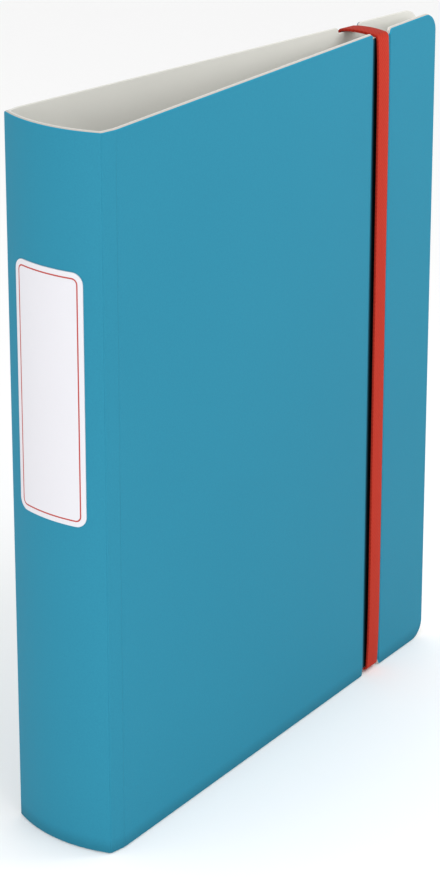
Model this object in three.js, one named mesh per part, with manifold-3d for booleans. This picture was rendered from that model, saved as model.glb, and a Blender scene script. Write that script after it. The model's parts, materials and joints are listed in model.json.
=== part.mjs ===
// A 4-ring A4 binder with a curved spine and an elastic closing band.
//
// Frame, in millimetres: +Z is up, the spine faces -Y, the front cover faces +X and the back
// cover -X. The binder stands upright on its bottom edges, closed, with the origin under the
// middle of its bounding box.
//
// Three local frames repeat below.
//   cover frame     x runs along a cover from the spine corner to the fore edge, y is up, and z
//                   crosses the board. On the front cover z points out, on the back cover in.
//   mechanism frame the back cover's frame, moved so that x = 0 is the middle line of the ring
//                   mechanism, y = 0 is half height and z = 0 is the cover's inner face.
//   plan            outlines drawn in x and y and raised along z, for the spine and its folds.

import * as THREE from "three";
import { mergeVertices } from "three/addons/utils/BufferGeometryUtils.js";
import Module from "manifold-3d";

const wasm = await Module();
wasm.setup();

// ---------------------------------------------------------------- driving dimensions

const HEIGHT = 318;
const BOARD = 2.1;
const COVER_LENGTH = 255; // spine corner to fore edge, along the outer face
const SPINE_WIDTH = 56; // outer corner to outer corner
const SPINE_BULGE = 6.5; // how far the curved spine stands out past its corners
const COVER_LEAN = THREE.MathUtils.degToRad(4.9); // each cover closes in towards the fore edge
const FORE_CORNER_RADIUS = 9;
const GAP = 0.3; // left between pieces that touch

// fold strips between the spine board and the cover boards
const FOLD_ON_COVER = 7;
const FOLD_ON_SPINE = 3.5;
const FOLD_THICKNESS = 1;

// spine label
const LABEL = { width: 37, height: 110, thickness: 0.5, corner: 5, top: 59 };

// elastic band, its notches and the groove it lies in
const BAND = { width: 8.8, thickness: 1.2, bend: 1.7, arch: 1.2 };
const BAND_CENTRE = 207.4; // along the cover
const NOTCH = { start: 199.6, end: 213.5, depth: 2.8, corner: 0.8 }; // along the cover
const GROOVE_DEPTH = 1.2;
const TAIL_LENGTH = 28; // down the back cover's outer face
const TAIL_SLOT = { width: 10.2, height: 1.9 };
const CLIP = { width: 14, height: 4.6, depth: 3.2, pocket: 2, corner: 1 };

// ring mechanism on the back cover
const MECHANISM_CENTRE = 29; // from the spine corner, along the cover
const HOUSING = { length: 266, halfWidth: 12, height: 9.2, sheet: 0.8, lip: 1.8, base: 0.4 };
const RING_PITCH = 80;
const RING_ROWS = [-1.5, -0.5, 0.5, 1.5].map((step) => step * RING_PITCH);
const WIRE_RADIUS = 1.5;
const WIRE_SIDES = 8;
const WIRE_STEPS = 15;
const BLADE = { length: 252, thickness: 1, pivotX: 9.4, pivotZ: 3.4, rim: 0.5, slit: 0.3 };
const BLADE_REST = THREE.MathUtils.degToRad(8); // inner edges lie lower while the rings are shut
const POST_ROWS = [-RING_PITCH, 0, RING_PITCH];
const POST = { shank: 2, bore: 2.35, sleeve: 3.5, clear: 1 };
const RIVET = { head: 5, headHeight: 0.9, crown: 3.4, crownHeight: 1 };
const LEVER = { width: 11.6, tongue: 5, pivotY: 129.5, pivotZ: 4.6, eye: 1.9, pin: 0.9 };
const LEVER_BORE = 1.25;
const LEVER_PIN_LENGTH = 22.6;

// openings in the housing: beside each ring, and at each end for the lever
const RING_WINDOW = { from: 3.4, bottom: 2.6, top: 12 };
const LEVER_WINDOW = { reach: 3.6, bottom: 2, top: 12 };

// cutters pass the surfaces they cut by this much, and bores are longer than what they cross
const PAST = 1;
const THROUGH = 40;

// how finely curves are divided
const SPINE_STEPS = 24;
const FOLD_STEPS = 3;
const CORNER_STEPS = 8;
const ARCH_STEPS = 20;
const BEND_STEPS = 4;
const ROUND_SIDES = 20;
const BORE_SIDES = 16;

// ---------------------------------------------------------------- colours

const TEAL = { color: 0x3d94af, roughness: 0.62, metalness: 0 };
const RED = { color: 0xca4232, roughness: 0.8, metalness: 0 };
const PAPER = { color: 0xedecf2, roughness: 0.55, metalness: 0 };
const NICKEL = { color: 0xc9cbcc, roughness: 0.28, metalness: 1 };
const STEEL = { color: 0xaeb1b3, roughness: 0.4, metalness: 1 };

// ---------------------------------------------------------------- helpers

function toSolid(geometry) {
  const plain = geometry.clone();
  plain.deleteAttribute("normal");
  plain.deleteAttribute("uv");
  const merged = mergeVertices(plain, 1e-4);
  return new wasm.Manifold(
    new wasm.Mesh({
      numProp: 3,
      vertProperties: Float32Array.from(merged.attributes.position.array),
      triVerts: Uint32Array.from(merged.index.array),
    }),
  );
}

function toGeometry(solid) {
  const mesh = solid.getMesh();
  const geometry = new THREE.BufferGeometry();
  geometry.setAttribute("position", new THREE.BufferAttribute(mesh.vertProperties, 3));
  geometry.setIndex(new THREE.BufferAttribute(mesh.triVerts, 1));
  return geometry;
}

function cutAll(geometry, cutters) {
  let solid = toSolid(geometry);
  for (const cutter of cutters) {
    solid = solid.subtract(toSolid(cutter));
  }
  return toGeometry(solid);
}

function extrude(shape, depth, curveSegments = 8) {
  return new THREE.ExtrudeGeometry(shape, { depth, bevelEnabled: false, curveSegments });
}

// An outline in x and z, given as a shape in x and y, drawn out along y and centred on y = 0.
function extrudeAlongY(shape, length, curveSegments = 8) {
  const geometry = extrude(shape, length, curveSegments);
  geometry.rotateX(Math.PI / 2);
  geometry.translate(0, length / 2, 0);
  return geometry;
}

// An outline in y and z, given as a shape in x and y, drawn out along x and centred on x = 0.
function extrudeAlongX(shape, length, curveSegments = 8) {
  const geometry = extrude(shape, length, curveSegments);
  geometry.translate(0, 0, -length / 2);
  geometry.rotateX(Math.PI / 2);
  geometry.rotateZ(Math.PI / 2);
  return geometry;
}

// A box given by any two opposite corners.
function boxBetween(corner, opposite) {
  const [width, length, height] = corner.map((value, axis) => Math.abs(opposite[axis] - value));
  const geometry = new THREE.BoxGeometry(width, length, height);
  const [x, y, z] = corner.map((value, axis) => (value + opposite[axis]) / 2);
  geometry.translate(x, y, z);
  return geometry;
}

function rodAlongX(radius, length, sides = BORE_SIDES) {
  const rod = new THREE.CylinderGeometry(radius, radius, length, sides);
  rod.rotateZ(Math.PI / 2);
  return rod;
}

function rodAlongZ(radius, length, sides = BORE_SIDES) {
  const rod = new THREE.CylinderGeometry(radius, radius, length, sides);
  rod.rotateX(Math.PI / 2);
  return rod;
}

// A profile of radius and height, turned about z.
function turned(profile) {
  const points = profile.map(([radius, z]) => new THREE.Vector2(radius, z));
  const geometry = new THREE.LatheGeometry(points, ROUND_SIDES);
  geometry.rotateX(Math.PI / 2);
  return geometry;
}

function arcPoints(centreX, centreY, radius, fromAngle, toAngle, steps = CORNER_STEPS) {
  const points = [];
  for (let step = 0; step <= steps; step += 1) {
    const angle = THREE.MathUtils.lerp(fromAngle, toAngle, step / steps);
    points.push(
      new THREE.Vector2(centreX + radius * Math.cos(angle), centreY + radius * Math.sin(angle)),
    );
  }
  return points;
}

function withoutRepeats(points) {
  return points.filter((point, index) => index === 0 || point.distanceTo(points[index - 1]) > 1e-4);
}

function roundedRectangle(width, height, radius) {
  const shape = new THREE.Shape();
  const x = width / 2;
  const y = height / 2;
  shape.moveTo(radius - x, -y);
  shape.lineTo(x - radius, -y);
  shape.absarc(x - radius, radius - y, radius, -Math.PI / 2, 0);
  shape.lineTo(x, y - radius);
  shape.absarc(x - radius, y - radius, radius, 0, Math.PI / 2);
  shape.lineTo(radius - x, y);
  shape.absarc(radius - x, y - radius, radius, Math.PI / 2, Math.PI);
  shape.lineTo(-x, radius - y);
  shape.absarc(radius - x, radius - y, radius, Math.PI, 1.5 * Math.PI);
  return shape;
}

// A closed outline of even thickness along an open plan curve.
function ribbonShape(curvePoints, thickness) {
  const left = [];
  const right = [];
  curvePoints.forEach((point, index) => {
    const before = curvePoints[Math.max(index - 1, 0)];
    const after = curvePoints[Math.min(index + 1, curvePoints.length - 1)];
    const along = after.clone().sub(before).normalize();
    const aside = new THREE.Vector2(-along.y, along.x).multiplyScalar(thickness / 2);
    left.push(point.clone().add(aside));
    right.unshift(point.clone().sub(aside));
  });
  return new THREE.Shape([...left, ...right]);
}

function addPiece(group, name, geometry, look) {
  const mesh = new THREE.Mesh(geometry, new THREE.MeshStandardMaterial(look));
  mesh.name = name;
  group.add(mesh);
  return mesh;
}

// ---------------------------------------------------------------- spine, folds and label

// The outer face of the spine is one arc through both corners.
const SPINE_RADIUS = (SPINE_WIDTH ** 2 / 4 + SPINE_BULGE ** 2) / (2 * SPINE_BULGE);
const SPINE_ARC_CENTRE_Y = SPINE_RADIUS - SPINE_BULGE;

// A point on a circle about the spine's arc centre, at a given x, on the side facing -Y.
function onSpineArc(x, radius) {
  return new THREE.Vector2(x, SPINE_ARC_CENTRE_Y - Math.sqrt(radius ** 2 - x ** 2));
}

function spineArcPoints(fromX, toX, radius, steps = SPINE_STEPS) {
  const points = [];
  for (let step = 0; step <= steps; step += 1) {
    const x = THREE.MathUtils.lerp(fromX, toX, step / steps);
    points.push(onSpineArc(x, radius));
  }
  return points;
}

function spineBoard() {
  const end = SPINE_WIDTH / 2 - FOLD_ON_SPINE;
  const outer = spineArcPoints(-end, end, SPINE_RADIUS);
  const inner = spineArcPoints(end, -end, SPINE_RADIUS - BOARD);
  return extrude(new THREE.Shape([...outer, ...inner]), HEIGHT);
}

// The fold on the front side; the back one is its mirror image.
function foldStrip() {
  const start = SPINE_WIDTH / 2 - FOLD_ON_SPINE + GAP;
  const corner = new THREE.Vector2(SPINE_WIDTH / 2, 0);
  const along = new THREE.Vector2(-Math.sin(COVER_LEAN), Math.cos(COVER_LEAN));
  const inward = new THREE.Vector2(-Math.cos(COVER_LEAN), -Math.sin(COVER_LEAN));
  const end = corner.clone().addScaledVector(along, FOLD_ON_COVER - GAP);
  const inside = onSpineArc(corner.x - FOLD_THICKNESS, SPINE_RADIUS - FOLD_THICKNESS);
  const shape = new THREE.Shape([
    ...spineArcPoints(start, corner.x, SPINE_RADIUS, FOLD_STEPS),
    end,
    end.clone().addScaledVector(inward, FOLD_THICKNESS),
    inside,
    onSpineArc(start, SPINE_RADIUS - FOLD_THICKNESS),
  ]);
  return extrude(shape, HEIGHT);
}

function mirroredInX(geometry) {
  const mirrored = mergeVertices(geometry);
  mirrored.scale(-1, 1, 1);
  mirrored.setIndex(Array.from(mirrored.index.array).reverse());
  return mirrored;
}

// A thin card bent round the spine, cut to a rounded rectangle.
function spineLabel() {
  const innerRadius = SPINE_RADIUS + GAP;
  const reach = LABEL.width / 2 + PAST;
  const outer = spineArcPoints(-reach, reach, innerRadius + LABEL.thickness);
  const inner = spineArcPoints(reach, -reach, innerRadius);
  const sheet = extrude(new THREE.Shape([...outer, ...inner]), HEIGHT);
  const outline = roundedRectangle(LABEL.width, LABEL.height, LABEL.corner);
  const cutter = extrudeAlongY(outline, THROUGH);
  cutter.translate(0, 0, HEIGHT - LABEL.top - LABEL.height / 2);
  return toGeometry(toSolid(sheet).intersect(toSolid(cutter)));
}

// ---------------------------------------------------------------- covers

// The board's bottom edge in the cover frame: square at the fold, then the band's shallow
// notch, then the round fore corner.
function bottomEdge() {
  const quarter = Math.PI / 2;
  const inner = NOTCH.corner;
  const outer = NOTCH.depth - inner;
  const round = FORE_CORNER_RADIUS;
  return withoutRepeats([
    new THREE.Vector2(FOLD_ON_COVER, 0),
    ...arcPoints(NOTCH.start - outer, outer, outer, -quarter, 0),
    ...arcPoints(NOTCH.start + inner, outer, inner, 2 * quarter, quarter),
    ...arcPoints(NOTCH.end - inner, outer, inner, quarter, 0),
    ...arcPoints(NOTCH.end + outer, outer, outer, -2 * quarter, -quarter),
    ...arcPoints(COVER_LENGTH - round, round, round, -quarter, 0),
  ]);
}

// The top edge is the bottom one mirrored about half height.
function coverBoard() {
  const bottom = bottomEdge();
  const top = bottom.map((point) => new THREE.Vector2(point.x, HEIGHT - point.y)).reverse();
  return extrude(new THREE.Shape([...bottom, ...top]), BOARD);
}

function frontCoverBoard() {
  const board = coverBoard();
  board.translate(0, 0, -BOARD);
  const groove = boxBetween([NOTCH.start, -PAST, -GROOVE_DEPTH], [NOTCH.end, HEIGHT + PAST, PAST]);
  return cutAll(board, [groove]);
}

function backCoverBoard() {
  const halfWidth = TAIL_SLOT.width / 2;
  const halfHeight = TAIL_SLOT.height / 2;
  const slots = [TAIL_LENGTH, HEIGHT - TAIL_LENGTH].map((y) =>
    boxBetween(
      [BAND_CENTRE - halfWidth, y - halfHeight, -PAST],
      [BAND_CENTRE + halfWidth, y + halfHeight, BOARD + PAST],
    ),
  );
  const bores = POST_ROWS.map((y) => {
    const bore = rodAlongZ(POST.bore, THROUGH);
    bore.translate(MECHANISM_CENTRE, HEIGHT / 2 + y, 0);
    return bore;
  });
  return cutAll(coverBoard(), [...slots, ...bores]);
}

// ---------------------------------------------------------------- elastic band

// Where the outer face of a cover lies in x, for a given y.
function outerFaceX(y) {
  return SPINE_WIDTH / 2 - y * Math.tan(COVER_LEAN);
}

const BAND_Y = BAND_CENTRE * Math.cos(COVER_LEAN);

// The band's middle line in x and z, from the clip inside the top of the back cover, over both
// top notches, down the front groove, under both bottom notches and up to the other clip.
function bandLine() {
  const half = BAND.thickness / 2;
  const face = outerFaceX(BAND_Y);
  const frontX = face - GROOVE_DEPTH + GAP + half;
  const backX = -face - GAP - half;
  const clipX = -face + BOARD + CLIP.pocket;
  const topZ = HEIGHT - NOTCH.depth + GAP + half;
  const bottomZ = NOTCH.depth - GAP - half;
  const slotTop = HEIGHT - TAIL_LENGTH;
  const bend = BAND.bend;
  const line = new THREE.Path();
  line.moveTo(clipX, slotTop);
  line.lineTo(backX + bend, slotTop);
  line.quadraticCurveTo(backX, slotTop, backX, slotTop + bend);
  line.lineTo(backX, topZ - bend);
  line.quadraticCurveTo(backX, topZ, backX + bend, topZ);
  line.quadraticCurveTo(0, topZ + BAND.arch, frontX - bend, topZ);
  line.quadraticCurveTo(frontX, topZ, frontX, topZ - bend);
  line.lineTo(frontX, bottomZ + bend);
  line.quadraticCurveTo(frontX, bottomZ, frontX - bend, bottomZ);
  line.lineTo(backX + bend, bottomZ);
  line.quadraticCurveTo(backX, bottomZ, backX, bottomZ + bend);
  line.lineTo(backX, TAIL_LENGTH - bend);
  line.quadraticCurveTo(backX, TAIL_LENGTH, backX + bend, TAIL_LENGTH);
  line.lineTo(clipX, TAIL_LENGTH);
  return line.getPoints(BEND_STEPS);
}

// The band is drawn out along y, and its sides then follow the two covers as they close in.
function elasticBand() {
  const band = extrudeAlongY(ribbonShape(bandLine(), BAND.thickness), BAND.width);
  band.translate(0, BAND_Y, 0);
  const position = band.attributes.position;
  for (let vertex = 0; vertex < position.count; vertex += 1) {
    const taper = outerFaceX(position.getY(vertex)) / outerFaceX(BAND_Y);
    position.setX(vertex, position.getX(vertex) * taper);
  }
  return band;
}

// A bar inside the back cover that holds the band's end in a pocket and can't pass its slot.
function bandClip() {
  const clip = extrude(roundedRectangle(CLIP.width, CLIP.height, CLIP.corner), CLIP.depth);
  const halfWidth = TAIL_SLOT.width / 2;
  const halfHeight = TAIL_SLOT.height / 2;
  const pocket = boxBetween([-halfWidth, -halfHeight, -PAST], [halfWidth, halfHeight, CLIP.pocket]);
  return cutAll(clip, [pocket]);
}

// ---------------------------------------------------------------- ring mechanism

// The housing's section: a sheet metal arch, half an ellipse, with its edges turned in under
// the blades.
const ARCH_FOOT = HOUSING.base + HOUSING.sheet;

function archPoints(halfWidth, top, fromAngle, toAngle) {
  const rise = (top - ARCH_FOOT) / halfWidth;
  return arcPoints(0, 0, halfWidth, fromAngle, toAngle, ARCH_STEPS).map(
    (point) => new THREE.Vector2(point.x, ARCH_FOOT + point.y * rise),
  );
}

// A window on each side for every ring, wide enough for the wire through its whole swing.
function ringWindows() {
  const half = WIRE_RADIUS + 2 * GAP;
  return RING_ROWS.flatMap((y) =>
    [-1, 1].map((side) =>
      boxBetween(
        [side * RING_WINDOW.from, y - half, RING_WINDOW.bottom],
        [side * (HOUSING.halfWidth + PAST), y + half, RING_WINDOW.top],
      ),
    ),
  );
}

// A bore in the crown for every rivet.
function rivetBores() {
  return POST_ROWS.map((y) => {
    const bore = rodAlongZ(POST.bore, THROUGH);
    bore.translate(0, y, HOUSING.height);
    return bore;
  });
}

// At each end, an open crown for the lever and a bore across both sides for its pin.
function leverOpenings() {
  const half = LEVER.width / 2 + 2 * GAP;
  return [-1, 1].flatMap((end) => {
    const window = boxBetween(
      [-half, end * (LEVER.pivotY - LEVER_WINDOW.reach), LEVER_WINDOW.bottom],
      [half, end * (HOUSING.length / 2 + PAST), LEVER_WINDOW.top],
    );
    const bore = rodAlongX(LEVER_BORE, THROUGH);
    bore.translate(0, end * LEVER.pivotY, LEVER.pivotZ);
    return [window, bore];
  });
}

function ringHousing() {
  const half = HOUSING.halfWidth;
  const lipEnd = half - HOUSING.lip;
  const innerHalf = half - HOUSING.sheet;
  const shape = new THREE.Shape([
    new THREE.Vector2(lipEnd, HOUSING.base),
    new THREE.Vector2(half - HOUSING.sheet / 2, HOUSING.base),
    ...archPoints(half, HOUSING.height, 0, Math.PI),
    new THREE.Vector2(HOUSING.sheet / 2 - half, HOUSING.base),
    new THREE.Vector2(-lipEnd, HOUSING.base),
    new THREE.Vector2(-lipEnd, ARCH_FOOT),
    ...archPoints(innerHalf, HOUSING.height - HOUSING.sheet, Math.PI, 0),
    new THREE.Vector2(lipEnd, ARCH_FOOT),
  ]);
  const shell = extrudeAlongY(shape, HOUSING.length);
  return cutAll(shell, [...ringWindows(), ...rivetBores(), ...leverOpenings()]);
}

// The blade on the fore edge side, flat, in a frame whose origin is its pivot line. The other
// blade is its mirror image.
function carrierBlade(side) {
  const inner = -(BLADE.pivotX - BLADE.slit);
  const plate = boxBetween(
    [inner, -BLADE.length / 2, -BLADE.thickness / 2],
    [BLADE.rim, BLADE.length / 2, BLADE.thickness / 2],
  );
  const cutters = POST_ROWS.map((y) => {
    const clearance = rodAlongZ(POST.sleeve + POST.clear, THROUGH, ROUND_SIDES);
    clearance.translate(-BLADE.pivotX, y, 0);
    return clearance;
  });
  const blade = cutAll(plate, cutters);
  if (side < 0) {
    blade.rotateZ(Math.PI);
  }
  blade.rotateY(-side * BLADE_REST);
  return blade;
}

// Middle line of the straight half ring, on the fore edge side of the mechanism, in x and z.
function straightHalfLine() {
  return [
    [5.6, 3.9],
    [5.7, 5.4],
    [8.6, 7.6],
    [12.8, 8.9],
    [15.2, 11.6],
    [15.6, 16],
    [15.6, 23],
    [15.6, 30],
    [14.8, 34.4],
    [12.6, 36.2],
    [11.2, 36.3],
  ];
}

// Middle line of the curved half ring, on the spine side.
function curvedHalfLine() {
  return [
    [-5.6, 3.9],
    [-5.7, 5.4],
    [-8.8, 7.8],
    [-14, 10.6],
    [-18.2, 16],
    [-18.8, 22.6],
    [-15.4, 29.6],
    [-8.6, 34.6],
    [0, 36.3],
    [8, 36.3],
    [10.6, 36.3],
  ];
}

function halfRing(line) {
  const path = new THREE.CatmullRomCurve3(line.map(([x, z]) => new THREE.Vector3(x, 0, z)));
  const section = new THREE.Shape();
  section.absarc(0, 0, WIRE_RADIUS, 0, 2 * Math.PI);
  return new THREE.ExtrudeGeometry(section, {
    steps: WIRE_STEPS,
    curveSegments: WIRE_SIDES,
    extrudePath: path,
  });
}

// A low dome's profile in radius and height, from its rim to its crown.
function domeProfile(radius, base, height) {
  const steps = CORNER_STEPS / 2;
  const rim = arcPoints(0, 0, 1, 0, Math.PI / 2, steps).slice(0, steps);
  return [...rim.map((point) => [point.x * radius, base + point.y * height]), [0, base + height]];
}

// A rivet through the cover, the post and the housing, with a low dome at both ends.
function mountingRivet() {
  const outside = -BOARD - GAP;
  const inside = HOUSING.height + GAP;
  return turned([
    ...domeProfile(RIVET.head, outside, -RIVET.headHeight).reverse(),
    [POST.shank, outside],
    [POST.shank, inside],
    ...domeProfile(RIVET.crown, inside, RIVET.crownHeight),
  ]);
}

// The sleeve that holds the housing off the cover.
function mountingPost() {
  const top = HOUSING.height - HOUSING.sheet - POST.clear;
  return turned([
    [POST.bore, GAP],
    [POST.sleeve, GAP],
    [POST.sleeve, top],
    [POST.bore, top],
    [POST.bore, GAP],
  ]);
}

// The opening lever's side view about its pin, in y and z: a tongue that reaches in under both
// blades, an eye round the pin, and a thumb plate that slopes up and out past the housing.
function leverOutline() {
  const eye = LEVER.eye;
  const shape = new THREE.Shape();
  shape.moveTo(-7.6, -4.2);
  shape.lineTo(-3, -4);
  shape.lineTo(0.6, -eye);
  shape.absarc(0, 0, eye, -0.35 * Math.PI, 0);
  shape.lineTo(7.6, 11.4);
  shape.lineTo(9.2, 13.6);
  shape.lineTo(8.4, 14.6);
  shape.lineTo(6.4, 12.4);
  shape.lineTo(-eye, 0.8);
  shape.lineTo(-eye, -1);
  shape.lineTo(-3.4, -3.1);
  shape.lineTo(-7.6, -3.3);
  return shape;
}

// The lever at the top end. Its tongue is narrower than its plate, and clears both posts.
function openingLever() {
  const lever = extrudeAlongX(leverOutline(), LEVER.width);
  const besideTongue = [-1, 1].map((side) =>
    boxBetween([(side * LEVER.tongue) / 2, -9, -6], [side * LEVER.width, -2.4, 2]),
  );
  return cutAll(lever, [rodAlongX(LEVER_BORE, THROUGH), ...besideTongue]);
}

// ---------------------------------------------------------------- assembly

const binder = new THREE.Group();
const assembly = new THREE.Group();
binder.add(assembly);

addPiece(assembly, "spine", spineBoard(), TEAL);
addPiece(assembly, "spine_label", spineLabel(), PAPER);
addPiece(assembly, "front_fold_strip", foldStrip(), TEAL);
addPiece(assembly, "back_fold_strip", mirroredInX(foldStrip()), TEAL);

// A cover's frame, which stands on its outer corner of the spine. side is 1 for the front cover
// and -1 for the back cover.
function coverFrame(side) {
  const frame = new THREE.Group();
  const along = new THREE.Vector3(-side * Math.sin(COVER_LEAN), Math.cos(COVER_LEAN), 0);
  const up = new THREE.Vector3(0, 0, 1);
  const across = along.clone().cross(up);
  frame.quaternion.setFromRotationMatrix(new THREE.Matrix4().makeBasis(along, up, across));
  frame.position.set((side * SPINE_WIDTH) / 2, 0, 0);
  assembly.add(frame);
  return frame;
}

const frontSide = coverFrame(1);
const backSide = coverFrame(-1);
addPiece(frontSide, "front_cover", frontCoverBoard(), TEAL);
addPiece(backSide, "back_cover", backCoverBoard(), TEAL);

addPiece(assembly, "elastic_band", elasticBand(), RED);
for (const [name, y] of [["top", HEIGHT - TAIL_LENGTH], ["bottom", TAIL_LENGTH]]) {
  const clip = addPiece(backSide, `${name}_band_clip`, bandClip(), NICKEL);
  clip.position.set(BAND_CENTRE, y, BOARD + GAP);
}

const mechanism = new THREE.Group();
mechanism.position.set(MECHANISM_CENTRE, HEIGHT / 2, BOARD);
backSide.add(mechanism);
addPiece(mechanism, "ring_housing", ringHousing(), NICKEL);

const spineSideBlade = addPiece(mechanism, "spine_side_blade", carrierBlade(-1), STEEL);
spineSideBlade.position.set(-BLADE.pivotX, 0, BLADE.pivotZ);
const foreSideBlade = addPiece(mechanism, "fore_side_blade", carrierBlade(1), STEEL);
foreSideBlade.position.set(BLADE.pivotX, 0, BLADE.pivotZ);

RING_ROWS.forEach((y, row) => {
  const number = row + 1;
  const curved = halfRing(curvedHalfLine());
  const straight = halfRing(straightHalfLine());
  addPiece(mechanism, `curved_half_ring_${number}`, curved, NICKEL).position.y = y;
  addPiece(mechanism, `straight_half_ring_${number}`, straight, NICKEL).position.y = y;
});

const POST_NAMES = ["bottom", "middle", "top"];
POST_ROWS.forEach((y, row) => {
  const name = POST_NAMES[row];
  addPiece(mechanism, `${name}_mounting_rivet`, mountingRivet(), NICKEL).position.y = y;
  addPiece(mechanism, `${name}_mounting_post`, mountingPost(), STEEL).position.y = y;
});

for (const [name, end] of [["top", 1], ["bottom", -1]]) {
  const lever = addPiece(mechanism, `${name}_opening_lever`, openingLever(), NICKEL);
  lever.position.set(0, end * LEVER.pivotY, LEVER.pivotZ);
  lever.rotation.z = end > 0 ? 0 : Math.PI;
  const pinRod = rodAlongX(LEVER.pin, LEVER_PIN_LENGTH);
  const pin = addPiece(mechanism, `${name}_lever_pin`, pinRod, STEEL);
  pin.position.set(0, end * LEVER.pivotY, LEVER.pivotZ);
}

// The origin goes under the middle of the whole binder.
const bounds = new THREE.Box3().setFromObject(assembly, true);
const middle = bounds.getCenter(new THREE.Vector3());
assembly.position.set(-middle.x, -middle.y, -bounds.min.z);

export default binder;
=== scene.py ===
"""Looks for a 4-ring binder with a curved spine and an elastic closing band.

Metres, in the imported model's frame: +Z is up, the spine faces -Y, the front cover +X and the back
cover -X.

Boards are drawn in three measures: along (from the spine outwards), up, and inward (from the
outer face through the board). Each board has its own function that turns these into a place.
"""

import json
import math

import bmesh
import bpy
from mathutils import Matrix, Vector


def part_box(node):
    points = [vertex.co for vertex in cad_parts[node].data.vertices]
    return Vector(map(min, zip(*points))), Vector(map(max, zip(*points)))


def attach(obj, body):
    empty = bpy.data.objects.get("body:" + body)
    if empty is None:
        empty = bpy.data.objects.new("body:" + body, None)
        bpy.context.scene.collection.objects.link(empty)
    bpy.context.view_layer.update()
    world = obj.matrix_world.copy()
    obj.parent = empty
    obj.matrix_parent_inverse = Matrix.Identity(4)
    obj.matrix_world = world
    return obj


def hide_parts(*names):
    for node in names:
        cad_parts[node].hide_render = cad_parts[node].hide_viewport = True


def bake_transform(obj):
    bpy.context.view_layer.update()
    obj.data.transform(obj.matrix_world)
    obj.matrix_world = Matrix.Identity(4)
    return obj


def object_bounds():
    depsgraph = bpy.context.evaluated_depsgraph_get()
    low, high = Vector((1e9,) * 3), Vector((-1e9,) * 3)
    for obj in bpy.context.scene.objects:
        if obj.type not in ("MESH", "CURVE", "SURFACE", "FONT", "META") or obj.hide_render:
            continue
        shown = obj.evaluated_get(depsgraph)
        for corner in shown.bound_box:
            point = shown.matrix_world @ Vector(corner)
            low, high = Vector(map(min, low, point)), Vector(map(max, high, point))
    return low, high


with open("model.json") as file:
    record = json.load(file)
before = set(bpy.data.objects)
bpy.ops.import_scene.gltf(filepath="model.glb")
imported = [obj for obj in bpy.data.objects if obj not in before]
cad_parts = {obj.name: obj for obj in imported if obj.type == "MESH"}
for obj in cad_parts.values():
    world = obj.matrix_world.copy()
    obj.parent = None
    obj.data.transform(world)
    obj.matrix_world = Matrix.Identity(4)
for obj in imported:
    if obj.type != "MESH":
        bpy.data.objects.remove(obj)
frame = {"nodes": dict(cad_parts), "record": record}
CAD_LOW, CAD_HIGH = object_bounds()

MM = 0.001

# ---------------------------------------------------------------- driving dimensions

# boards and folds
BOARD = 2.1 * MM
COVER_LENGTH = 255 * MM
SPINE_BULGE = 6.5 * MM
FOLD_ON_COVER = 7 * MM
FOLD_ON_SPINE = 3.35 * MM
FORE_CORNER_RADIUS = 9 * MM

# the band: it turns with the bend's radius, rises over the top edges and bows down the front
BAND_WIDTH = 8.8 * MM
BAND_THICKNESS = 1.2 * MM
BAND_CENTRE = 207.4 * MM
BAND_GAP = 0.3 * MM
BAND_CORNER = 0.18 * MM
BAND_BEND = 1.8 * MM
BAND_RISE = 0.6 * MM
BAND_BOW = 0.8 * MM

# the band's tails, outside the back cover as far as their slots and clipped inside it
TAIL_LENGTH = 28 * MM
TAIL_SLOT_WIDTH = 10.2 * MM
TAIL_SLOT_HEIGHT = 1.9 * MM
CLIP_DEPTH = 2 * MM

# the notches at both ends of the groove that the band lies in
NOTCH_DEPTH = 2.8 * MM
NOTCH_OUTER_RADIUS = 2 * MM
NOTCH_INNER_RADIUS = 0.8 * MM
NOTCH_START = 199.6 * MM
NOTCH_END = 213.5 * MM

# the groove: a soft lip on the spine side, a floor with near-black painted shade and a steep wall
# on the fore side; the painted shade deepens down the lip and clears just before the wall
GROOVE_DEPTH = 1.2 * MM
LIP_START = NOTCH_START - 1.8 * MM
LIP_END = NOTCH_START + 2.2 * MM
PAINTED_SHADE_START = NOTCH_START - 1.4 * MM
PAINTED_SHADE_END = NOTCH_START + 3.2 * MM
WALL_START = NOTCH_END - 0.65 * MM
WALL_END = NOTCH_END + 0.45 * MM
SHADE_CLEAR_START = WALL_START - 0.5 * MM
SHADE_CLEAR_END = WALL_START - 0.2 * MM

# the label card on the spine
LABEL_WIDTH = 37 * MM
LABEL_CORNER = 5 * MM
LABEL_PROUD = 0.45 * MM

# the ring mechanism
MECHANISM_CENTRE = 29 * MM
POST_BORE = 2.35 * MM
RING_PITCH = 80 * MM
WIRE_RADIUS = 1.5 * MM

# ---------------------------------------------------------------- places taken from the frame

HEIGHT = CAD_HIGH.z
CORNER_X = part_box("front_fold_strip")[1].x
CORNER_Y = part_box("spine")[0].y + SPINE_BULGE
MOUNTS = {mount["name"]: mount for mount in frame["record"]["mounts"]}
OUTWARD = Vector(MOUNTS["front_face"]["axis"])
LEAN = math.atan2(OUTWARD.y, OUTWARD.x)
LABEL_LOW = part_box("spine_label")[0].z
LABEL_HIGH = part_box("spine_label")[1].z

SPINE_RADIUS = (CORNER_X ** 2 + SPINE_BULGE ** 2) / (2 * SPINE_BULGE)
SPINE_CENTRE_Y = CORNER_Y - SPINE_BULGE + SPINE_RADIUS
CORNER_ARC = SPINE_RADIUS * math.asin(CORNER_X / SPINE_RADIUS)
SEAM_ARC = CORNER_ARC - FOLD_ON_SPINE

# the materials' places on every board
SKIN, CORE, LINING = range(3)

# The layers along a board's edge: the skin rounds over its own edge, which lies a drop inside the
# lining's, and the core shows between the two. The support is a narrow run of faces around each
# flat side, which keeps it flat in the shading.
SKIN_ROUND = 0.5 * MM
LINING_ROUND = 0.25 * MM
EDGE_DROP = 0.4 * MM
CORE_SET_BACK = 0.05 * MM
LINING_FROM = 1.3 * MM
SUPPORT = 0.4 * MM

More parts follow.
